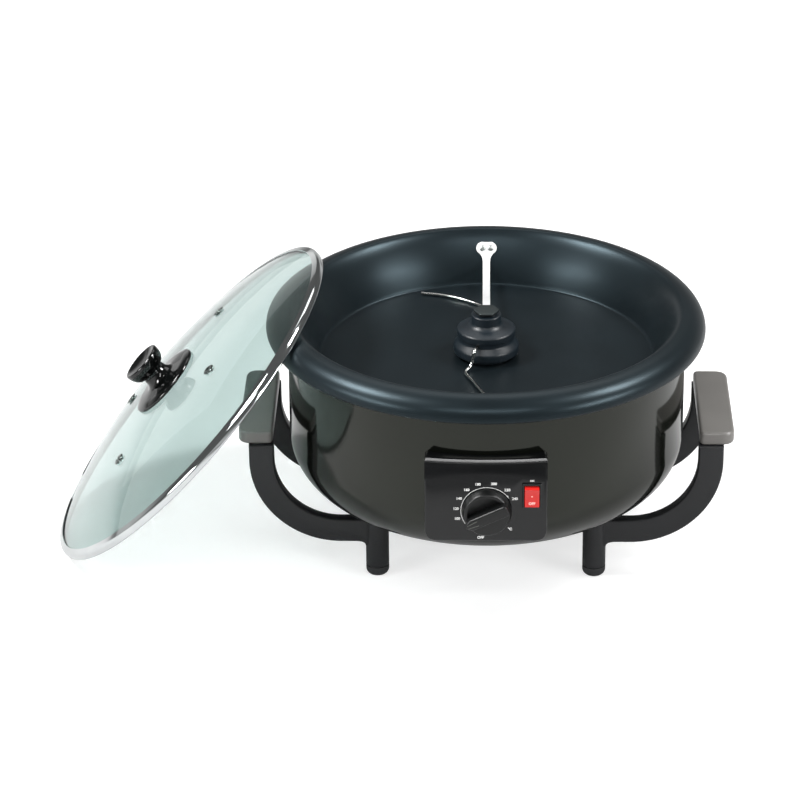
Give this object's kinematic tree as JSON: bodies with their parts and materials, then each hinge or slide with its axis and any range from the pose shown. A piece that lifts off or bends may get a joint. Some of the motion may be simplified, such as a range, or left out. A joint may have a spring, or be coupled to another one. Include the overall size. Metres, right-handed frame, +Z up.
{
  "type": "home coffee bean roaster",
  "caption": "Stirred electric coffee bean roaster: round non-stick pan in a black drum on armed feet with side grips, dial and rocker panel, and a loose domed glass lid.",
  "frame": {"origin": "centre of the whole object's box on the table plane, lid included", "axes": "+X to the right seen from the control panel, +Y from the panel to the back, +Z up; the lid lies on the -X side"},
  "size_m": [0.5528, 0.365, 0.2384],
  "materials": {
    "pan_coating": "dark non-stick coating on aluminium, satin",
    "drum_enamel": "gloss black enamel",
    "control_plastic": "moulded, fine satin",
    "arm_plastic": "moulded, satin",
    "grip_plastic": "moulded, semi-gloss",
    "rubber": "matt",
    "bright_steel": "polished stainless steel",
    "zinc_steel": "zinc plated, satin",
    "sheet_steel": "plain sheet",
    "sheath_steel": "heat-darkened",
    "bronze": "sintered bronze",
    "hub_plastic": "moulded, satin",
    "knob_plastic": "gloss black",
    "red_plastic": "gloss red",
    "ceramic": "off-white moulded insulator",
    "lid_glass": "clear tempered glass with a slight green tint",
    "chrome": "bright stainless steel"
  },
  "bodies": {
    "roaster": {"pan": "pan_coating", "centre_tube": "sheet_steel", "shaft_bush": "bronze", "centre_strip": "bright_steel", "strip_screw_1": "zinc_steel", "strip_screw_2": "zinc_steel", "pivot_cap": "zinc_steel", "drum": "drum_enamel", "base_plate": "sheet_steel", "base_screw_1": "zinc_steel", "base_screw_2": "zinc_steel", "base_screw_3": "zinc_steel", "base_screw_4": "zinc_steel", "arm_front_left": "arm_plastic", "foot_front_left": "rubber", "arm_front_right": "arm_plastic", "foot_front_right": "rubber", "arm_rear_left": "arm_plastic", "foot_rear_left": "rubber", "arm_rear_right": "arm_plastic", "foot_rear_right": "rubber", "column_screw_1": "zinc_steel", "column_screw_2": "zinc_steel", "column_screw_3": "zinc_steel", "column_screw_4": "zinc_steel", "grip_left": "grip_plastic", "grip_right": "grip_plastic", "control_box": "control_plastic", "box_screw_1": "zinc_steel", "box_screw_2": "zinc_steel", "thermostat": "ceramic", "switch_body": "control_plastic", "heat_shield": "sheet_steel", "heating_ring": "sheath_steel", "gear_motor": "zinc_steel", "motor_screw_1": "zinc_steel", "motor_screw_2": "zinc_steel", "thermal_cutout": "ceramic", "terminal_block": "ceramic", "cord_gland": "rubber"},
    "stirrer": {"drive_shaft": "zinc_steel", "stirrer_hub": "hub_plastic", "stirrer_wire_front": "bright_steel", "stirrer_wire_rear": "bright_steel"},
    "temperature_dial": {"temperature_knob": "knob_plastic", "knob_shaft": "zinc_steel"},
    "power_rocker": {"rocker_button": "red_plastic"},
    "lid": {"lid_glass": "lid_glass", "lid_rim_band": "chrome", "lid_knob": "knob_plastic", "lid_washer": "rubber", "lid_knob_screw": "zinc_steel", "lid_vent_1": "chrome", "lid_vent_2": "chrome", "lid_vent_3": "chrome", "lid_vent_4": "chrome"}
  },
  "joints": [
    {"name": "stirrer_turn", "type": "hinge", "parent": "roaster", "child": "stirrer", "pos_m": [0.07789, 0.00455, 0.19], "axis": [0, 0, 1], "continuous": true},
    {"name": "dial_turn", "type": "hinge", "parent": "roaster", "child": "temperature_dial", "pos_m": [0.07869, -0.16805, 0.1198], "axis": [0, -1, 0], "range_deg": [-179, 53]},
    {"name": "rocker_tilt", "type": "hinge", "parent": "roaster", "child": "power_rocker", "pos_m": [0.11329, -0.16655, 0.1334], "axis": [-1, 0, 0], "range_deg": [0, 20]},
    {"name": "lid_lift", "type": "slide", "parent": "roaster", "child": "lid", "axis": [0, 0, 1], "range_m": [0, 0.25]}
  ]
}
